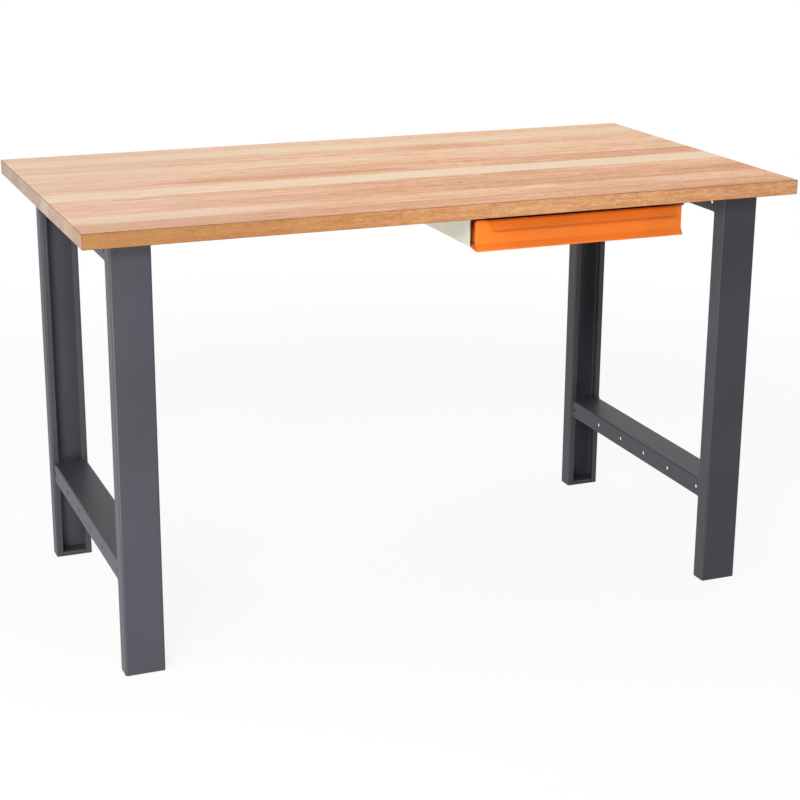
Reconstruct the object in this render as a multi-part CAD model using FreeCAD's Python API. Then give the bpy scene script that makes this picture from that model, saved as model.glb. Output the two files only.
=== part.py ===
import FreeCAD, Part
import math
import os

# Workbench: an edge-glued beech top on two welded leg frames, with one drawer hung under the top.
# Millimetres. The origin is on the floor under the middle of the top. +X runs along the top, +Y to
# the back and +Z up, so the drawer opens towards -Y.

Vector = FreeCAD.Vector
ALONG_X = Vector(1, 0, 0)
ALONG_Y = Vector(0, 1, 0)
ALONG_Z = Vector(0, 0, 1)

# Cuts run past the faces that they open by this much
overrun = 5.0

# Worktop
worktop_length = 1500.0
worktop_depth = 800.0
worktop_thickness = 30.0
worktop_arris = 1.0
bench_height = 900.0

# Legs: lipped C sections, the closed side outwards, the open side towards the other leg of the frame
leg_width = 80.0
leg_depth = 40.0
leg_lip = 14.0
leg_sheet = 2.0
leg_bend = 2.0
end_overhang = 60.0
edge_overhang = 55.0

# Head plates, welded on the legs and on the ends of the upper rails
plate_thickness = 6.0
plate_overhang = 4.0
plate_reach = 46.0
plate_corner = 4.0
plate_screw_spacing = 40.0
plate_screw_inset = 26.0

# Cross rails: channels with the open side down, the same section at both heights
rail_inset = 3.0
rail_height = 40.0
rail_sheet = 2.0
rail_bend = 2.0
lower_rail_top = 226.0
rail_hole_radius = 4.5
rail_hole_height = 19.0
rail_hole_pitch = 110.0
rail_hole_pairs = 2
rail_end_hole_margin = 14.0

# Feet: plastic caps, flush with the legs, with a plug
foot_base = 3.0
foot_plug_height = 6.0
foot_clearance = 0.3

# Hexagon-head wood screws, driven up into the worktop
screw_radius = 2.5
screw_head_across = 8.0
screw_head_height = 3.5
screw_tip = 5.0
screw_bite = 20.0
screw_clearance = 0.3
pilot_clearance = 0.05
pilot_extra = 2.0

# Drawer case, hung under the top by its side flanges
case_width = 460.0
case_depth = 530.0
case_height = 67.5
case_sheet = 1.5
case_bend = 1.5
case_flange = 22.0
case_hem = 30.0
case_middle_x = 260.5
case_setback = 55.0
case_tie_width = 30.0
case_tie_lip = 16.0
case_back_flange = 15.0
case_screw_rows = 3
case_screw_margin = 60.0

# Telescopic slides: each member nested in the next, with guide strips between their flanges
slide_length = 450.0
slide_height = 35.0
slide_thickness = 12.7
slide_sheet = 1.2
slide_bend = 0.6
slide_setback = 20.0
slide_web_gap = 1.0
slide_row = 3.4
slide_outer_flange = 10.0
slide_middle_flange = 8.8
slide_inner_flange = 8.3
strip_length = 230.0
strip_width = 4.0
strip_clearance = 0.3

# Drawer front: one folded sheet with a grip flap, a flared lower edge and a return under the tray
front_lead = 30.0
front_sheet = 1.5
front_bend = 1.5
front_top_gap = 8.0
front_panel_height = 48.0
flare_reach = 11.0
flare_drop = 15.0
flap_reach = 18.0
flap_drop = 16.6
flap_top_inset = 18.0
flap_low_inset = 25.0
return_depth = 28.0
return_rise = 5.0

# Drawer tray: two channel-shaped sides, a bottom sheet and a back
tray_sheet = 1.2
tray_bend = 1.2
tray_length = 523.5
tray_height = 45.0
tray_bottom_flange = 14.0
tray_top_flange = 8.0
tray_drop = 8.0

# Places that follow from the sizes
underside = bench_height - worktop_thickness
leg_left = end_overhang - worktop_length / 2
leg_right = leg_left + leg_width
leg_middle_x = (leg_left + leg_right) / 2
leg_front = edge_overhang - worktop_depth / 2
leg_back = leg_front + leg_depth
leg_top = underside - plate_thickness

case_front = case_setback - worktop_depth / 2
case_back = case_front + case_depth
case_left = case_middle_x - case_width / 2
case_right = case_middle_x + case_width / 2
case_bottom = underside - case_height
case_inner_left = case_left + case_sheet
case_inner_right = case_right - case_sheet

front_face = case_front - front_lead
front_inside = front_face + front_sheet
front_top = underside - front_top_gap
flare_top = front_top - front_panel_height
front_bottom = flare_top - flare_drop

tray_left = case_inner_left + slide_thickness
tray_right = case_inner_right - slide_thickness
tray_bottom = flare_top - tray_drop
tray_top = tray_bottom + tray_height
tray_back = front_inside + tray_length

slide_front = case_front + slide_setback
slide_back = slide_front + slide_length
slide_level = (tray_bottom + tray_top) / 2
slide_outer_half = slide_height / 2
slide_middle_half = slide_outer_half - slide_sheet - slide_row
slide_inner_half = slide_middle_half - slide_sheet - slide_row
slide_middle_left = case_inner_left + slide_sheet + slide_web_gap


def in_xy(z):
    return lambda a, b: Vector(a, b, z)


def in_xz(y):
    return lambda a, b: Vector(a, y, b)


def in_yz(x):
    return lambda a, b: Vector(x, a, b)


def rounded_face(corners, radii, place):
    """A face through flat corners, each rounded by its radius, or sharp where that is zero."""
    points = [Vector(a, b, 0) for a, b in corners]
    turns = []
    for i, point in enumerate(points):
        turn = [point, point, point]
        if radii[i]:
            back = (points[i - 1] - point).normalize()
            ahead = (points[(i + 1) % len(points)] - point).normalize()
            bisector = (back + ahead).normalize()
            half_sine = bisector.cross(back).Length
            tangent = radii[i] * bisector.dot(back) / half_sine
            middle = point + bisector * (radii[i] / half_sine - radii[i])
            turn = [point + back * tangent, middle, point + ahead * tangent]
        turns.append([place(p.x, p.y) for p in turn])
    edges = []
    for i, turn in enumerate(turns):
        if radii[i]:
            edges.append(Part.Arc(*turn).toShape())
        edges.append(Part.makeLine(turn[-1], turns[(i + 1) % len(turns)][0]))
    return Part.Face(Part.Wire(edges))


def sheet_face(path, thickness, bend, place):
    """The section of a bent sheet that lies on the left of its flat path, with its inside bend radius."""
    points = [Vector(a, b, 0) for a, b in path]
    runs = [(b - a).normalize() for a, b in zip(points, points[1:])]
    normals = [Vector(-run.y, run.x, 0) for run in runs]
    far = [points[0] + normals[0] * thickness]
    near_radii = [0]
    far_radii = [0]
    for i in range(1, len(runs)):
        spread = 1 + normals[i - 1].dot(normals[i])
        far.append(points[i] + (normals[i - 1] + normals[i]) * (thickness / spread))
        inside_is_left = runs[i - 1].cross(runs[i]).z > 0
        near_radii.append(bend + thickness if inside_is_left else bend)
        far_radii.append(bend if inside_is_left else bend + thickness)
    far.append(points[-1] + normals[-1] * thickness)
    corners = [(p.x, p.y) for p in points + far[::-1]]
    radii = near_radii + [0] + [0] + far_radii[::-1]
    return rounded_face(corners, radii, place)


def block(low, high):
    """A box between two opposite corners."""
    size = high - low
    return Part.makeBox(size.x, size.y, size.z, low)


def upright_slab(low, high, corner):
    """A box between two opposite corners, with its four upright edges rounded."""
    outline = [(low.x, low.y), (high.x, low.y), (high.x, high.y), (low.x, high.y)]
    face = rounded_face(outline, [corner] * len(outline), in_xy(low.z))
    return face.extrude(ALONG_Z * (high.z - low.z))


def upright_hole(x, y, low, high, radius):
    return Part.makeCylinder(radius, high - low, Vector(x, y, low), ALONG_Z)


def to_right(shape):
    return shape.mirror(Vector(), ALONG_X)


def to_back(shape):
    return shape.mirror(Vector(), ALONG_Y)


def across_case(shape):
    return shape.mirror(Vector(case_middle_x, 0, 0), ALONG_X)


def at_four_legs(name, shape):
    """The front left leg's piece and its mirror images at the other three legs."""
    return {
        name + "_front_left": shape,
        name + "_front_right": to_right(shape),
        name + "_rear_left": to_back(shape),
        name + "_rear_right": to_right(to_back(shape)),
    }


def plate_screw_places():
    """The screws of the front left head plate, as (x, y)."""
    y = leg_back + plate_screw_inset
    return [(leg_middle_x + side * plate_screw_spacing / 2, y) for side in (-1, 1)]


def all_plate_screw_places():
    near = plate_screw_places()
    return [(side * x, end * y) for x, y in near for side in (1, -1) for end in (1, -1)]


def case_screw_places():
    """The screws of both case flanges, as (x, y)."""
    first = case_front + case_screw_margin
    step = (case_depth - 2 * case_screw_margin) / (case_screw_rows - 1)
    reach = case_width / 2 + case_flange / 2
    rows = [first + i * step for i in range(case_screw_rows)]
    return [(case_middle_x + side * reach, y) for side in (-1, 1) for y in rows]


def worktop():
    low = Vector(-worktop_length / 2, -worktop_depth / 2, underside)
    slab = block(low, Vector(-low.x, -low.y, bench_height))
    slab = slab.makeFillet(worktop_arris, slab.Edges)
    pilot_top = underside + screw_bite + pilot_extra
    places = all_plate_screw_places() + case_screw_places()
    radius = screw_radius + pilot_clearance
    pilots = [upright_hole(x, y, underside - overrun, pilot_top, radius) for x, y in places]
    return slab.cut(Part.makeCompound(pilots))


def leg():
    """The front left leg."""
    path = [
        (leg_left + leg_lip, leg_back),
        (leg_left, leg_back),
        (leg_left, leg_front),
        (leg_right, leg_front),
        (leg_right, leg_back),
        (leg_right - leg_lip, leg_back),
    ]
    section = sheet_face(path, leg_sheet, leg_bend, in_xy(foot_base))
    return section.extrude(ALONG_Z * (leg_top - foot_base))


def head_plate():
    """The front left leg's head plate, which reaches over the end of the upper rail."""
    low = Vector(leg_left - plate_overhang, leg_front - plate_overhang, leg_top)
    high = Vector(leg_right + plate_overhang, leg_back + plate_reach, underside)
    plate = upright_slab(low, high, plate_corner)
    radius = screw_radius + screw_clearance
    for x, y in plate_screw_places():
        plate = plate.cut(upright_hole(x, y, leg_top - overrun, underside + overrun, radius))
    return plate


def rail_hole_places():
    """Where the holes of a rail are along it."""
    inner = [(i + 1 / 2) * rail_hole_pitch for i in range(rail_hole_pairs)]
    half = inner + [-leg_back - rail_end_hole_margin]
    return sorted([-y for y in half] + half)


def rail(top):
    """A left cross rail between the lips of two legs."""
    left = leg_left + rail_inset
    right = leg_right - rail_inset
    low = top - rail_height
    path = [(right, low), (right, top), (left, top), (left, low)]
    channel = sheet_face(path, rail_sheet, rail_bend, in_xz(leg_back)).extrude(ALONG_Y * (-2 * leg_back))
    depth = right - left + 2 * overrun
    for y in rail_hole_places():
        start = Vector(left - overrun, y, low + rail_hole_height)
        channel = channel.cut(Part.makeCylinder(rail_hole_radius, depth, start, ALONG_X))
    return channel


def upper_rail():
    """A rail at the legs' heads, drilled for the screws of both head plates."""
    channel = rail(leg_top)
    radius = screw_radius + screw_clearance
    for x, y in plate_screw_places():
        hole = upright_hole(x, y, leg_top - rail_sheet - overrun, leg_top + overrun, radius)
        channel = channel.cut(hole).cut(to_back(hole))
    return channel


def foot():
    """The front left leg's foot: a base under the leg and a plug inside it."""
    low = Vector(leg_left, leg_front, 0)
    high = Vector(leg_right, leg_back, foot_base)
    base = upright_slab(low, high, leg_bend + leg_sheet)
    inset = leg_sheet + foot_clearance
    step = Vector(inset, inset, 0)
    plug_low = Vector(leg_left, leg_front, foot_base) + step
    plug_high = Vector(leg_right, leg_back, foot_base + foot_plug_height) - step
    return base.fuse(upright_slab(plug_low, plug_high, leg_bend)).removeSplitter()


def screw(x, y, seat, length):
    """A hexagon-head wood screw with its head under the seat and its point up."""
    reach = screw_head_across / 2 / math.cos(math.pi / 6)
    turns = [i * math.pi / 3 for i in range(6)]
    hexagon = [(reach * math.cos(turn), reach * math.sin(turn)) for turn in turns]
    head = rounded_face(hexagon, [0] * len(hexagon), in_xy(-screw_head_height))
    shank = [(0, 0), (screw_radius, 0), (screw_radius, length - screw_tip), (0, length)]
    shank = rounded_face(shank, [0] * len(shank), in_xz(0)).revolve(Vector(), ALONG_Z, 360)
    solid = head.extrude(ALONG_Z * screw_head_height).fuse(shank)
    return solid.translated(Vector(x, y, seat))


def worktop_screws():
    seat = leg_top - rail_sheet
    length = underside + screw_bite - seat
    return Part.makeCompound([screw(x, y, seat, length) for x, y in all_plate_screw_places()])


def case_screws():
    seat = underside - case_sheet
    length = underside + screw_bite - seat
    return Part.makeCompound([screw(x, y, seat, length) for x, y in case_screw_places()])


def case_side():
    """The left side of the case, with its flange outwards and its hem inwards."""
    ledge = underside - case_sheet
    path = [
        (case_left - case_flange, ledge),
        (case_left, ledge),
        (case_left, case_bottom),
        (case_left + case_hem, case_bottom),
    ]
    side = sheet_face(path, case_sheet, case_bend, in_xz(case_front)).extrude(ALONG_Y * case_depth)
    radius = screw_radius + screw_clearance
    for x, y in case_screw_places():
        if x < case_left:
            side = side.cut(upright_hole(x, y, ledge - overrun, underside + overrun, radius))
    return side


def case_tie():
    """The cross tie: its ledge fits between the sides, its lip runs on over the right flange."""
    end = case_right + case_flange
    face = case_front - case_sheet
    path = [
        (case_front + case_tie_width, underside),
        (face, underside),
        (face, underside - case_tie_lip),
    ]
    section = sheet_face(path, case_sheet, case_bend, in_yz(case_inner_left))
    tie = section.extrude(ALONG_X * (end - case_inner_left))
    low = Vector(case_inner_right, case_front, underside - case_tie_lip - overrun)
    high = Vector(end + overrun, case_front + case_tie_width + overrun, underside + overrun)
    return tie.cut(block(low, high))


def case_rear():
    """The back of the case, standing on the hems, with a flange under the top."""
    path = [
        (case_back, case_bottom + case_sheet),
        (case_back, underside),
        (case_back - case_back_flange, underside),
    ]
    section = sheet_face(path, case_sheet, case_bend, in_yz(case_inner_left))
    return section.extrude(ALONG_X * (case_inner_right - case_inner_left))


def slide_member(web, tip, half):
    """A left slide channel from its web to the tips of its flanges."""
    top = slide_level + half
    low = slide_level - half
    path = [(tip, top), (web, top), (web, low), (tip, low)]
    if tip < web:
        path = path[::-1]
    section = sheet_face(path, slide_sheet, slide_bend, in_xz(slide_front))
    return section.extrude(ALONG_Y * slide_length)


def slide_outer():
    return slide_member(case_inner_left, case_inner_left + slide_outer_flange, slide_outer_half)


def slide_middle():
    return slide_member(slide_middle_left, slide_middle_left + slide_middle_flange, slide_middle_half)


def slide_inner():
    return slide_member(tray_left, tray_left - slide_inner_flange, slide_inner_half)


def slide_strips():
    """Guide strips on both faces of the left middle member's flanges, inside the overlap at full travel."""
    middle_tip = slide_middle_left + slide_middle_flange
    outer_x = (slide_middle_left + case_inner_left + slide_outer_flange - strip_width) / 2
    inner_x = (middle_tip + tray_left - slide_inner_flange - strip_width) / 2
    height = slide_row - strip_clearance
    reach = Vector(strip_width, strip_length, height)
    outer_z = slide_middle_half
    inner_z = slide_middle_half - slide_sheet - height
    strips = []
    for x, y, z in ((outer_x, slide_back - strip_length, outer_z), (inner_x, slide_front, inner_z)):
        for low_z in (slide_level + z, slide_level - z - height):
            low = Vector(x, y, low_z)
            strips.append(block(low, low + reach))
    return Part.makeCompound(strips)


def flap_end_cut():
    """What is cut off the left end of the grip flap to slant it."""
    depth = flap_reach + overrun
    slant = (flap_low_inset - flap_top_inset) / flap_reach
    outline = [
        (case_left - overrun, front_face),
        (case_left - overrun, front_face - depth),
        (case_left + flap_top_inset + slant * depth, front_face - depth),
        (case_left + flap_top_inset, front_face),
    ]
    low = flare_top + front_bend
    face = rounded_face(outline, [0] * len(outline), in_xy(low))
    return face.extrude(ALONG_Z * (front_top + overrun - low))


def drawer_front():
    path = [
        (front_face - flap_reach, front_top - flap_drop),
        (front_face, front_top),
        (front_face, flare_top),
        (front_face - flare_reach, front_bottom),
        (front_face + return_depth, front_bottom + return_rise),
    ]
    section = sheet_face(path, front_sheet, front_bend, in_yz(case_left))
    sheet = section.extrude(ALONG_X * case_width)
    cut = flap_end_cut()
    return sheet.cut(cut).cut(across_case(cut))


def drawer_side():
    """The left side of the tray, with its flanges inwards."""
    path = [
        (tray_left + tray_top_flange, tray_top),
        (tray_left, tray_top),
        (tray_left, tray_bottom),
        (tray_left + tray_bottom_flange, tray_bottom),
    ]
    section = sheet_face(path, tray_sheet, tray_bend, in_xz(front_inside))
    return section.extrude(ALONG_Y * tray_length)


def drawer_bottom():
    """The bottom sheet, which lies on the lower flanges of the sides, clear of their bends."""
    inset = tray_sheet + tray_bend
    low = Vector(tray_left + inset, front_inside, tray_bottom + tray_sheet)
    high = Vector(tray_right - inset, tray_back, low.z + tray_sheet)
    return block(low, high)


def drawer_back():
    """The back of the tray, which stands on the bottom sheet between the sides."""
    low = Vector(tray_left + tray_sheet, tray_back - tray_sheet, tray_bottom + 2 * tray_sheet)
    high = Vector(tray_right - tray_sheet, tray_back, tray_top - tray_sheet - tray_bend)
    return block(low, high)


def pieces():
    nodes = {"worktop": worktop()}
    nodes.update(at_four_legs("leg", leg()))
    nodes.update(at_four_legs("head_plate", head_plate()))
    nodes.update(at_four_legs("foot", foot()))
    for name, shape in (("lower_rail", rail(lower_rail_top)), ("upper_rail", upper_rail())):
        nodes[name + "_left"] = shape
        nodes[name + "_right"] = to_right(shape)
    nodes["worktop_screws"] = worktop_screws()
    nodes["case_tie"] = case_tie()
    nodes["case_rear"] = case_rear()
    nodes["case_screws"] = case_screws()
    nodes["drawer_front"] = drawer_front()
    nodes["drawer_bottom"] = drawer_bottom()
    nodes["drawer_back"] = drawer_back()
    paired = {
        "case_side": case_side(),
        "slide_outer": slide_outer(),
        "slide_middle": slide_middle(),
        "slide_strips": slide_strips(),
        "slide_inner": slide_inner(),
        "drawer_side": drawer_side(),
    }
    for name, shape in paired.items():
        nodes[name + "_left"] = shape
        nodes[name + "_right"] = across_case(shape)
    return nodes


os.makedirs("parts", exist_ok=True)
for node, solid in pieces().items():
    solid.exportStep("parts/" + node + ".step")
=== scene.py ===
import bpy
import math
from mathutils import Matrix, Vector


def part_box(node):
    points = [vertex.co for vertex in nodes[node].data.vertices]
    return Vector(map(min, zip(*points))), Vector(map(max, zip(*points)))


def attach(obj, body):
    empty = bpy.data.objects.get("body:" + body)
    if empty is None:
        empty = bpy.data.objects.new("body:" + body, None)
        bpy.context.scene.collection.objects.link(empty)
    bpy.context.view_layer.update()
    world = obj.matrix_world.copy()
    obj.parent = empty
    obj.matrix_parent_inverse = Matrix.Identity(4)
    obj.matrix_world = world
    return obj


# Workbench: a beech top on two painted steel leg frames, with an orange drawer under the top.
# Metres, in the frame of the solids: the origin is on the floor under the middle of the top,
# +X runs along the top, +Y to the back and +Z up.

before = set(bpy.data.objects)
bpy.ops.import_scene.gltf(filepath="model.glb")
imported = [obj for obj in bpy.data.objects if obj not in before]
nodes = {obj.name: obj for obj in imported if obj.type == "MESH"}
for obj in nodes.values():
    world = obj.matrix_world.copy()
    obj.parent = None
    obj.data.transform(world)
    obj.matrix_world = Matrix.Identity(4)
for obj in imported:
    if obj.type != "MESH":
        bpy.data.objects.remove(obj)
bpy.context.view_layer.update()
scene = bpy.context.scene
bpy.ops.object.select_all(action="DESELECT")

LEG_PLACES = ("front_left", "front_right", "rear_left", "rear_right")
SIDES = ("left", "right")


class Reading:
    """What a node gives. Sums, products and comparisons of readings add Math nodes."""

    def __init__(self, board, socket):
        self.board = board
        self.socket = socket

    def math(self, operation, first, second=0.0):
        return self.board.node("ShaderNodeMath", {"operation": operation}, {0: first, 1: second})

    def __add__(self, other):
        return self.math("ADD", self, other)

    __radd__ = __add__

    def __sub__(self, other):
        return self.math("SUBTRACT", self, other)

    def __rsub__(self, other):
        return self.math("SUBTRACT", other, self)

    def __mul__(self, other):
        return self.math("MULTIPLY", self, other)

    __rmul__ = __mul__

    def __truediv__(self, other):
        return self.math("DIVIDE", self, other)

    def __rtruediv__(self, other):
        return self.math("DIVIDE", other, self)

    def __pow__(self, other):
        return self.math("POWER", self, other)

    def __abs__(self):
        return self.math("ABSOLUTE", self)

    def __gt__(self, other):
        return self.math("GREATER_THAN", self, other)

    def larger(self, other):
        return self.math("MAXIMUM", self, other)

    def floor(self):
        return self.math("FLOOR", self)

    def fraction(self):
        return self.math("FRACT", self)

    def ramp(self, low, high):
        """Rises smoothly from 0 at low to 1 at high, or falls where low is the larger."""
        sockets = {"Value": self, "From Min": low, "From Max": high}
        return self.board.node("ShaderNodeMapRange", {"interpolation_type": "SMOOTHSTEP"}, sockets)

    def swing(self, reach):
        """A noise as a change to both sides of zero."""
        return (self - 0.5) * reach


class Board:
    """A node tree."""

    def __init__(self, tree):
        self.tree = tree

    def feed(self, socket, value):
        if isinstance(value, Reading):
            self.tree.links.new(value.socket, socket)
        else:
            socket.default_value = value

    def node(self, kind, settings=None, sockets=None, output=0):
        """Any node: its settings, a ramp's stops among them, then the values or links of its sockets."""
        made = self.tree.nodes.new(kind)
        for name, value in (settings or {}).items():
            if name == "stops":
                self.set_stops(made.color_ramp, value)
            elif name == "blending":
                made.color_ramp.interpolation = value
            else:
                setattr(made, name, value)
        for name, value in (sockets or {}).items():
            self.feed(made.inputs[name], value)
        return Reading(self, made.outputs[output])

    def set_stops(self, ramp, stops):
        while len(ramp.elements) < len(stops):
            ramp.elements.new(1.0)
        for element, (position, colour) in zip(ramp.elements, stops):
            element.position = position
            element.color = opaque(colour)

    def place(self, scale=(1.0, 1.0, 1.0)):
        """Object coordinates, stretched."""
        spot = self.node("ShaderNodeTexCoord", output="Object")
        return self.node("ShaderNodeMapping", {}, {"Vector": spot, "Scale": scale})

    def seen_directly(self):
        """1 for what the camera, a mirror or a glass sees, 0 for light that falls on the object."""
        rays = ("Is Camera Ray", "Is Glossy Ray", "Is Transmission Ray")
        camera, mirror, glass = [self.node("ShaderNodeLightPath", output=ray) for ray in rays]
        return camera.larger(mirror).larger(glass)


class Finish(Board):
    """A material with one Principled shader. What is the same all over is set on the shader's sockets."""

    def __init__(self, name, constants):
        self.material = bpy.data.materials.new(name)
        self.material.use_nodes = True
        super().__init__(self.material.node_tree)
        self.shader = self.tree.nodes["Principled BSDF"]
        for socket, value in constants.items():
            self.put(socket, value)

    def put(self, socket, value):
        self.feed(self.shader.inputs[socket], value)

    def axes(self, vector):
        return [self.node("ShaderNodeSeparateXYZ", {}, {0: vector}, axis) for axis in "XYZ"]

    def facing(self):
        """The surface's own direction, as three numbers from -1 to 1."""
        return self.axes(self.node("ShaderNodeNewGeometry", output="True Normal"))

    def noise(self, scale, detail=2.0, roughness=0.5, seed=0.0):
        """Noise at one scale, or at a scale for each axis."""
        stretch = scale if isinstance(scale, tuple) else (1.0, 1.0, 1.0)
        even = 1.0 if isinstance(scale, tuple) else scale
        sockets = {"Vector": self.place(stretch), "W": seed, "Scale": even}
        sockets.update({"Detail": detail, "Roughness": roughness})
        return self.node("ShaderNodeTexNoise", {"noise_dimensions": "4D"}, sockets)

    def chance(self, seed):
        """One number from 0 to 1 for each seed."""
        return self.node("ShaderNodeTexWhiteNoise", {"noise_dimensions": "1D"}, {"W": seed})

    def mix(self, share, first, second, blend="MIX"):
        """A colour between two colours."""
        settings = {"data_type": "RGBA", "blend_type": blend}
        return self.node("ShaderNodeMix", settings, {0: share, 6: first, 7: second}, 2)

    def lay(self, under, mask, layer, blend="MIX"):
        """A layer of colour, given with its share, over another colour where a mask is 1."""
        share, colour = layer
        return self.mix(mask * share, under, opaque(colour), blend)

    def colours(self, value, stops, blending="LINEAR"):
        return self.node("ShaderNodeValToRGB", {"stops": stops, "blending": blending}, {0: value})

    def grey(self, colour):
        return self.node("ShaderNodeRGBToBW", {}, {0: colour})

    def bump(self, height, distance, strength=1.0):
        sockets = {"Height": height, "Distance": distance, "Strength": strength}
        self.put("Normal", self.node("ShaderNodeBump", {}, sockets))


def srgb(red, green, blue):
    """A colour as a colour picker shows it, 0 to 255, in the linear values that shaders take."""
    shares = [value / 255 for value in (red, green, blue)]
    return tuple(s / 12.92 if s <= 0.04045 else ((s + 0.055) / 1.055) ** 2.4 for s in shares)


def opaque(colour):
    return (*colour, 1.0)


def shaded(colour, share):
    return opaque([value * share for value in colour])


# Beech: full-length staves glued edge to edge, oiled, with end grain at both ends.
# The staves' tones run from the rear edge to the front one, 0 the darkest and 1 the palest.

STAVE_WIDTH = 0.075
REAR_TRIM = 0.020
GLUE_LINE = 0.0004
STAVE_TONES = (0.65, 0.86, 0.53, 0.69, 0.50, 0.35, 1.00, 0.36, 0.18, 0.46, 0.22)
BEECH_TONES = (
    (0.00, srgb(208, 149, 112)),
    (0.35, srgb(227, 176, 142)),
    (0.70, srgb(243, 205, 171)),
    (1.00, srgb(242, 221, 192)),
)

# Growth rings around a heart that lies beside and below each stave
RING_STEP = 0.0030
RING_WANDER = 0.022
RING_RIPPLE = 0.0008
HEART_DEPTH = 0.075
HEART_SEED_Y = 0.37
HEART_SPREAD_Y = 0.16
HEART_SEED_Z = 7.61
HEART_SPREAD_Z = 0.06

# Noises in the wood: scale along the three axes, detail and roughness
WANDER_NOISE = ((1.1, 7.0, 7.0), 3.0, 0.5)
RIPPLE_NOISE = ((9.0, 90.0, 90.0), 2.0, 0.5)
STREAK_NOISE = ((1.0, 55.0, 55.0), 4.0, 0.6)
THREAD_NOISE = ((14.0, 110.0, 110.0), 4.0, 0.7)
CLOUD_NOISE = ((2.2, 9.0, 9.0), 2.0, 0.5)
MOTTLE_NOISE = ((60.0, 170.0, 170.0), 2.0, 0.6)
RAY_NOISE = ((230.0, 230.0, 420.0), 2.0, 0.6)
FLECK_NOISE = ((150.0, 1500.0, 1500.0), 1.0, 0.5)
PORE_NOISE = ((420.0, 4200.0, 4200.0), 1.0, 0.5)

# Colours that are laid over the wood, each with its share
# Painted sheen: the top pales towards its left end, as the light falls there
PAINTED_SHEEN_LEFT = (0.40, srgb(224, 202, 184))
# Painted shade: the left front corner is browner and darker, as the light falls there
PAINTED_SHADE_CORNER = (0.60, srgb(198, 166, 144))
LATE_WOOD = (0.26, srgb(186, 116, 76))
FLECK = (0.22, srgb(150, 92, 60))
PORE = (0.10, srgb(120, 72, 48))
GLUE = (0.45, srgb(140, 88, 60))

# Marks on the face, two red streaks, a pale one, two pale marks and a pin knot:
# x, y, half length, half width, slant, and the share and colour of the layer
FACE_MARKS = (
    (-0.230, 0.006, 0.360, 0.026, 0.0, (0.60, srgb(204, 138, 104))),
    (0.210, 0.232, 0.140, 0.028, 0.0, (0.45, srgb(208, 144, 110))),
    (-0.560, -0.292, 0.360, 0.040, 0.0, (0.42, srgb(236, 219, 196))),
    (0.220, -0.272, 0.046, 0.016, 0.0, (0.55, srgb(240, 208, 182))),
    (0.116, -0.292, 0.008, 0.034, 0.3, (0.45, srgb(240, 208, 182))),
    (0.080, -0.180, 0.0036, 0.0062, 0.0, (0.90, srgb(96, 56, 40))),
)
FACE_DEPTH = 0.002

# What the wood's colour is multiplied by on the edges: painted shade at both ends of the long
# edges, deepest at the left end, with its share, then layers as above
EDGE_SHADE_LEFT = (0.40, 0.285, 0.085)
EDGE_SHADE_RIGHT = (0.98, 0.96, 0.76)
EDGE_SHADE_SHARE = 0.90
EDGE_RAYS = (0.50, (0.74, 0.66, 0.56))
END_GRAIN = (0.85, (0.49, 0.56, 0.63))
ARRIS = (0.92, (0.20, 0.13, 0.09))


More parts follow.
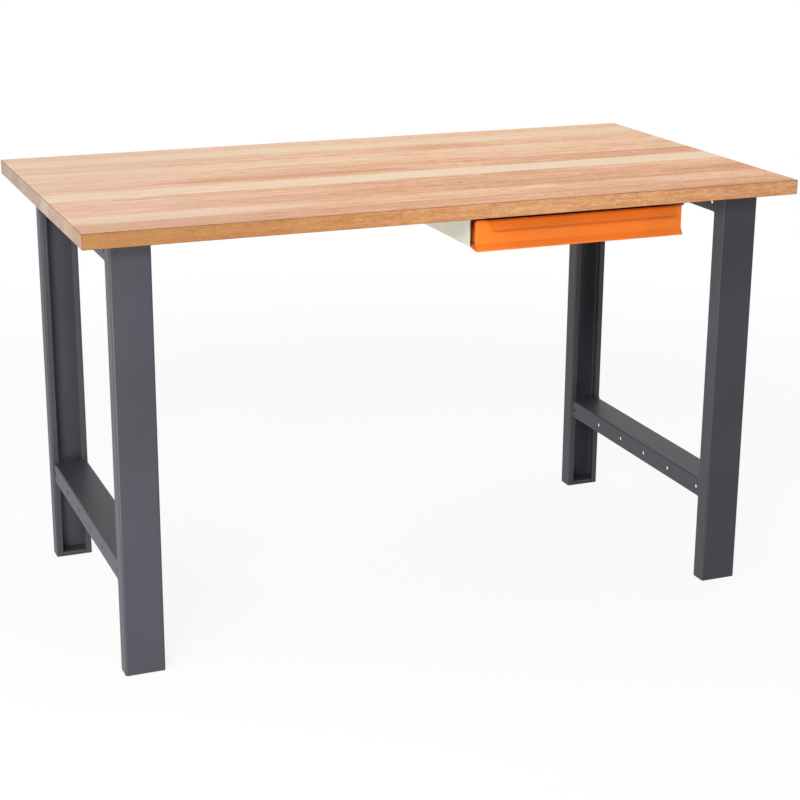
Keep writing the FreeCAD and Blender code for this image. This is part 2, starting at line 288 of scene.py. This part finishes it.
def beech():
    wood = Finish("beech", {"Specular IOR Level": 0.15})
    top_low, top_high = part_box("worktop")
    depth = top_high.y - top_low.y
    x, y, z = wood.axes(wood.place())

    # Staves
    across = (top_high.y + REAR_TRIM - y) / STAVE_WIDTH
    stave = across.floor()
    starts = [max(0.0, (i * STAVE_WIDTH - REAR_TRIM) / depth) for i in range(len(STAVE_TONES))]
    stops = [(start, (tone,) * 3) for start, tone in zip(starts, STAVE_TONES)]
    tone = wood.grey(wood.colours((top_high.y - y) / depth, stops, "CONSTANT"))
    from_middle = across.fraction() - 0.5
    glue = (abs(from_middle) * STAVE_WIDTH).ramp(STAVE_WIDTH / 2 - GLUE_LINE, STAVE_WIDTH / 2)

    # Growth rings
    heart_y = from_middle * STAVE_WIDTH + wood.chance(stave + HEART_SEED_Y).swing(HEART_SPREAD_Y)
    heart_z = z - (top_low.z - HEART_DEPTH) + wood.chance(stave + HEART_SEED_Z).swing(HEART_SPREAD_Z)
    wander = wood.noise(*WANDER_NOISE, stave * 3.7)
    ripple = wood.noise(*RIPPLE_NOISE, stave)
    reach = (heart_y * heart_y + heart_z * heart_z) ** 0.5
    ring = ((reach + wander * RING_WANDER + ripple * RING_RIPPLE) / RING_STEP).fraction()
    late_wood = ring.ramp(0.35, 0.92) * ring.ramp(1.0, 0.93)

    # Streaks, clouds and the finer grain
    streak = wood.noise(*STREAK_NOISE, stave * 1.9)
    thread = wood.noise(*THREAD_NOISE, stave * 2.7)
    cloud = wood.noise(*CLOUD_NOISE, stave * 5.3)
    mottle = wood.noise(*MOTTLE_NOISE, stave * 4.1)
    ray = wood.noise(*RAY_NOISE).ramp(0.42, 0.60)
    fleck = wood.noise(*FLECK_NOISE).ramp(0.62, 0.74)
    pore = wood.noise(*PORE_NOISE).ramp(0.56, 0.70)
    shade = tone + streak.swing(1.0) + thread.swing(1.4) + cloud.swing(0.7) + mottle.swing(0.9)
    colour = wood.colours(shade, BEECH_TONES)
    # Painted sheen, paler towards the left end of the top
    colour = wood.lay(colour, x.ramp(0.10, -0.75) * y.ramp(-0.36, -0.26), PAINTED_SHEEN_LEFT)
    # Painted shade, browner towards the left front corner
    colour = wood.lay(colour, x.ramp(-0.05, -0.75) * y.ramp(-0.24, -0.36), PAINTED_SHADE_CORNER)
    colour = wood.lay(colour, late_wood, LATE_WOOD)
    colour = wood.lay(colour, fleck, FLECK)
    colour = wood.lay(colour, pore, PORE)
    colour = wood.lay(colour, glue, GLUE)

    # Marks on the face, with ragged outlines
    on_face = z > (top_high.z - FACE_DEPTH)
    for mark_x, mark_y, long, wide, slant, layer in FACE_MARKS:
        along = (x - mark_x) + (y - mark_y) * slant
        size = (along / long) ** 2 + ((y - mark_y) / wide) ** 2 + ripple.swing(0.5)
        colour = wood.lay(colour, size.ramp(1.0, 0.25) * on_face, layer)

    # Painted shade darkens the long edges, deepest towards the left end, with rays that show as specks,
    # and the ends are greyer
    facing_x, facing_y, facing_z = [abs(share) for share in wood.facing()]
    long_edge = facing_y.ramp(0.75, 0.95)
    end = facing_x.ramp(0.75, 0.95)
    arris = (facing_x + facing_y + facing_z).ramp(1.10, 1.30)
    edge_shade = wood.mix(x.ramp(-0.85, 0.75), opaque(EDGE_SHADE_LEFT), opaque(EDGE_SHADE_RIGHT))
    colour = wood.mix(long_edge * EDGE_SHADE_SHARE, colour, edge_shade, "MULTIPLY")
    colour = wood.lay(colour, long_edge * ray, EDGE_RAYS, "MULTIPLY")
    colour = wood.lay(colour, end, END_GRAIN, "MULTIPLY")
    colour = wood.lay(colour, arris, ARRIS, "MULTIPLY")
    wood.put("Base Color", colour)
    wood.put("Roughness", 0.60 + late_wood * 0.06 + cloud.swing(0.10) + end * 0.15)
    height = (1 - late_wood * 0.5) - fleck * 0.6 - pore * 0.3 - glue * 0.8
    wood.bump(height, distance=0.00008, strength=0.6)
    return wood.material


# Powder coat on steel: a fine orange peel under a satin gloss

COAT_LIGHT = 1.18
COAT_DARK = 0.86


def powder_coat(name, colour, roughness, peel):
    coat = Finish(name, {"Specular IOR Level": 0.35})
    drift = coat.noise(3.0, detail=3.0)
    grain = coat.noise(900.0)
    blister = coat.noise(260.0)
    speck = coat.noise(2600.0, detail=0.0).ramp(0.62, 0.78)
    light = shaded(colour, COAT_LIGHT)
    tint = coat.mix(drift.ramp(0.30, 0.70), shaded(colour, COAT_DARK), light)
    coat.put("Base Color", coat.mix(speck * 0.25, tint, light))
    coat.put("Roughness", roughness + drift.swing(0.10) + grain.swing(0.08))
    coat.bump(grain + blister * 0.4, distance=peel)
    return coat.material


# Bright zinc plate: faint spangle and rolling lines along the strip

ZINC_TONES = (
    (0.2, srgb(176, 178, 180)),
    (0.8, srgb(214, 215, 214)),
)
SPANGLE_SCALE = 160.0


def zinc_plate():
    metal = Finish("zinc", {"Metallic": 1.0})
    sockets = {"Vector": metal.place(), "Scale": SPANGLE_SCALE}
    spangle = metal.grey(metal.node("ShaderNodeTexVoronoi", {}, sockets, "Color"))
    rolling = metal.noise((900.0, 4.0, 900.0), roughness=0.6)
    shade = spangle * 0.45 + rolling * 0.55
    metal.put("Base Color", metal.colours(shade, ZINC_TONES))
    metal.put("Roughness", 0.30 + shade * 0.22)
    metal.bump(rolling, distance=0.00002)
    return metal.material


# Moulded plastic: a spark-eroded grain

def moulded_plastic(name, colour, pale, roughness):
    plastic = Finish(name, {"Specular IOR Level": 0.45})
    grain = plastic.noise(1400.0, roughness=0.6)
    flow = plastic.noise((20.0, 20.0, 60.0))
    plastic.put("Base Color", plastic.mix(grain * 0.6 + flow * 0.4, opaque(colour), opaque(pale)))
    plastic.put("Roughness", roughness + grain.swing(0.14))
    plastic.bump(grain, distance=0.00006)
    return plastic.material


frame_paint = powder_coat("frame_paint", srgb(52, 52, 59), roughness=0.45, peel=0.00006)
drawer_paint = powder_coat("drawer_paint", srgb(236, 122, 34), roughness=0.45, peel=0.00004)
case_paint = powder_coat("case_paint", srgb(189, 193, 178), roughness=0.42, peel=0.00004)
zinc = zinc_plate()
foot_plastic = moulded_plastic("foot_plastic", srgb(44, 43, 46), srgb(62, 61, 64), roughness=0.55)
guide_plastic = moulded_plastic("guide_plastic", srgb(206, 206, 202), srgb(226, 226, 222), roughness=0.45)


def dress(finish, pieces, places=None):
    """Gives pieces their finish: each by its own name, or at each of some places."""
    names = [piece + "_" + place for piece in pieces for place in places] if places else pieces
    for name in names:
        for slot in nodes[name].material_slots:
            slot.material = finish


dress(beech(), ["worktop"])
dress(frame_paint, ["leg", "head_plate"], LEG_PLACES)
dress(frame_paint, ["lower_rail", "upper_rail"], SIDES)
# Painted shade: the case tie wears the dark frame paint, standing for the shadowed gap between the drawer
# front and the worktop
dress(frame_paint, ["case_tie"])
dress(foot_plastic, ["foot"], LEG_PLACES)
dress(case_paint, ["case_rear"])
dress(case_paint, ["case_side"], SIDES)
dress(drawer_paint, ["drawer_front", "drawer_bottom", "drawer_back"])
dress(drawer_paint, ["drawer_side"], SIDES)
dress(zinc, ["slide_outer", "slide_middle", "slide_inner"], SIDES)
dress(zinc, ["worktop_screws", "case_screws"])
dress(guide_plastic, ["slide_strips"], SIDES)


# Fillet welds on the leg frames: one ripple is modelled, repeated along the joint and capped.
# A ripple's rings are given by their height, as a share of the step, and their share of the radius.

BEAD_RADIUS = 0.0022
BEAD_STEP = 0.0024
BEAD_RINGS = ((0.00, 0.74), (0.25, 0.95), (0.55, 1.00), (1.00, 0.74))
BEAD_CORNERS = 10
BEAD_MERGE = 0.00005
BEAD_SMOOTH_ANGLE = 60.0
BEAD_STANDOFF = 0.0004
TOP_BEAD = 0.011
HEAD_BEAD = 0.060


def weld_bead(name, length):
    """A bead that stands upright on the origin."""
    bpy.ops.object.select_all(action="DESELECT")
    bpy.ops.mesh.primitive_circle_add(vertices=BEAD_CORNERS, radius=BEAD_RADIUS * BEAD_RINGS[0][1])
    bead = bpy.context.object
    bead.name = name
    bpy.ops.object.mode_set(mode="EDIT")
    bpy.ops.mesh.select_all(action="SELECT")
    for (level, share), (next_level, next_share) in zip(BEAD_RINGS, BEAD_RINGS[1:]):
        rise = (0.0, 0.0, (next_level - level) * BEAD_STEP)
        bpy.ops.mesh.extrude_region_move(TRANSFORM_OT_translate={"value": rise})
        middle = (0.0, 0.0, next_level * BEAD_STEP)
        growth = next_share / share
        bpy.ops.transform.resize(value=(growth, growth, 1.0), center_override=middle)
    bpy.ops.object.mode_set(mode="OBJECT")
    ripples = bead.modifiers.new("ripples", "ARRAY")
    ripples.count = round(length / BEAD_STEP)
    ripples.use_relative_offset = False
    ripples.use_constant_offset = True
    ripples.constant_offset_displace = (0.0, 0.0, BEAD_STEP)
    ripples.use_merge_vertices = True
    ripples.merge_threshold = BEAD_MERGE
    bpy.ops.object.modifier_apply(modifier=ripples.name)
    bpy.ops.object.mode_set(mode="EDIT")
    bpy.ops.mesh.select_all(action="SELECT")
    bpy.ops.mesh.fill_holes(sides=0)
    bpy.ops.mesh.select_all(action="SELECT")
    bpy.ops.mesh.normals_make_consistent(inside=False)
    bpy.ops.object.mode_set(mode="OBJECT")
    bpy.ops.object.shade_smooth_by_angle(angle=math.radians(BEAD_SMOOTH_ANGLE))
    return bead


def lay_bead(pattern, start, along_x):
    """A copy of a bead, upright from its start or turned to run along the worktop."""
    bead = pattern.copy()
    bead.data = pattern.data.copy()
    bead.matrix_world = Matrix.Translation(start)
    if along_x:
        bead.matrix_world = Matrix.Translation(start) @ Matrix.Rotation(math.radians(90), 4, "Y")
    scene.collection.objects.link(bead)
    return bead


def frame_welds(side, wall_bead, top_bead, head_bead):
    """All the beads of one leg frame, as one piece."""
    beads = []
    for rail in ("lower_rail_", "upper_rail_"):
        low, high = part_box(rail + side)
        for end in (low.y + BEAD_STANDOFF, high.y - BEAD_STANDOFF):
            for x in (low.x - BEAD_STANDOFF, high.x + BEAD_STANDOFF):
                beads.append(lay_bead(wall_bead, (x, end, low.z), False))
            if rail == "lower_rail_":
                for x in (low.x, high.x - TOP_BEAD):
                    beads.append(lay_bead(top_bead, (x, end, high.z + BEAD_STANDOFF), True))
    for place in ("front_", "rear_"):
        low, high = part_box("leg_" + place + side)
        y = low.y - BEAD_STANDOFF if place == "front_" else high.y + BEAD_STANDOFF
        x = (low.x + high.x - HEAD_BEAD) / 2
        beads.append(lay_bead(head_bead, (x, y, high.z - BEAD_STANDOFF), True))
    bpy.ops.object.select_all(action="DESELECT")
    for bead in beads:
        bead.select_set(True)
    bpy.context.view_layer.objects.active = beads[0]
    bpy.ops.object.transform_apply(location=True, rotation=True, scale=True)
    bpy.ops.object.join()
    welds = bpy.context.object
    welds.name = "frame_welds_" + side
    welds.data.materials.append(frame_paint)
    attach(welds, "bench")


rail_low, rail_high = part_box("lower_rail_left")
bead_patterns = [
    weld_bead("wall_bead", rail_high.z - rail_low.z),
    weld_bead("top_bead", TOP_BEAD),
    weld_bead("head_bead", HEAD_BEAD),
]
for frame_side in SIDES:
    frame_welds(frame_side, *bead_patterns)
for bead_pattern in bead_patterns:
    bpy.data.objects.remove(bead_pattern)


# Camera, where the photograph was taken from: degrees and millimetres of lens

CAMERA_PLACE = (-1.409, -3.534, 1.598)
CAMERA_YAW = 22.08
CAMERA_PITCH = 16.89
CAMERA_ROLL = 0.36
CAMERA_LENS = 81.6
CAMERA_SENSOR = 36.0
CAMERA_SHIFT = -0.03
CAMERA_REACH = 200.0


def photo_camera():
    data = bpy.data.cameras.new("photo_camera")
    data.sensor_width = CAMERA_SENSOR
    data.lens = CAMERA_LENS
    data.shift_y = CAMERA_SHIFT
    data.clip_end = CAMERA_REACH
    camera = bpy.data.objects.new("photo_camera", data)
    turn = Matrix.Rotation(math.radians(-CAMERA_YAW), 4, "Z")
    tilt = Matrix.Rotation(math.radians(90 - CAMERA_PITCH), 4, "X")
    roll = Matrix.Rotation(math.radians(CAMERA_ROLL), 4, "Z")
    camera.matrix_world = Matrix.Translation(CAMERA_PLACE) @ turn @ tilt @ roll
    scene.collection.objects.link(camera)
    scene.camera = camera


# Studio: white floor and surroundings, soft lamps from above and from the left.
# Each lamp has its name, place, target, width, height and watts.

LAMPS = (
    ("key_lamp", (-3.0, -1.4, 2.4), (0.0, 0.0, 0.6), 2.0, 1.6, 40.0),
    ("top_lamp", (0.9, 0.6, 3.8), (0.4, 0.15, 0.9), 3.0, 2.2, 52.0),
    ("front_lamp", (-2.4, -3.7, 2.8), (0.0, -0.3, 0.6), 1.4, 0.8, 134.0),
    ("low_lamp", (-1.5, -1.4, 0.15), (-0.65, -0.2, 0.1), 0.7, 0.4, 28.0),
)
SURROUND_LIGHT = 0.22
FLOOR_SIZE = 40.0
FLOOR_CELLS = 8
FLOOR_SHOWN = (0.9, 0.9, 0.9)
FLOOR_BOUNCE = (0.8, 0.8, 0.8)
SHADOW_SHARE = 0.11
SHADOW_NEAR = 1.4
SHADOW_FAR = 3.0


def soft_lamp(name, place, target, width, height, power):
    data = bpy.data.lights.new(name, "AREA")
    data.shape = "RECTANGLE"
    data.size = width
    data.size_y = height
    data.energy = power
    lamp = bpy.data.objects.new(name, data)
    turn = (Vector(target) - Vector(place)).to_track_quat("-Z", "Y")
    lamp.matrix_world = Matrix.Translation(place) @ turn.to_matrix().to_4x4()
    scene.collection.objects.link(lamp)


def surroundings():
    """White to look at, with less light than that on the object."""
    world = bpy.data.worlds.new("studio")
    world.use_nodes = True
    board = Board(world.node_tree)
    background = board.tree.nodes["Background"]
    board.feed(background.inputs["Color"], (1.0, 1.0, 1.0, 1.0))
    strength = board.seen_directly() * (1 - SURROUND_LIGHT) + SURROUND_LIGHT
    board.feed(background.inputs["Strength"], strength)
    scene.world = world


def floor():
    """White to look at, with a faint shadow near the object that fades out."""
    cells = {"x_subdivisions": FLOOR_CELLS, "y_subdivisions": FLOOR_CELLS}
    bpy.ops.mesh.primitive_grid_add(size=FLOOR_SIZE, **cells)
    ground = bpy.context.object
    ground.name = "floor"
    material = bpy.data.materials.new("pale_floor")
    material.use_nodes = True
    board = Board(material.node_tree)
    board.tree.nodes.remove(board.tree.nodes["Principled BSDF"])
    length = {"operation": "LENGTH"}
    distance = board.node("ShaderNodeVectorMath", length, {0: board.place()}, "Value")
    shadow = distance.ramp(SHADOW_FAR, SHADOW_NEAR) * SHADOW_SHARE
    white = board.node("ShaderNodeEmission")
    lit = board.node("ShaderNodeBsdfDiffuse", {}, {"Color": opaque(FLOOR_SHOWN)})
    bounce = board.node("ShaderNodeBsdfDiffuse", {}, {"Color": opaque(FLOOR_BOUNCE)})
    shown = board.node("ShaderNodeMixShader", {}, {0: shadow, 1: white, 2: lit})
    both = board.node("ShaderNodeMixShader", {}, {0: board.seen_directly(), 1: bounce, 2: shown})
    board.feed(board.tree.nodes["Material Output"].inputs["Surface"], both)
    ground.data.materials.append(material)


photo_camera()
for lamp_values in LAMPS:
    soft_lamp(*lamp_values)
surroundings()
floor()
scene.view_settings.view_transform = "Standard"
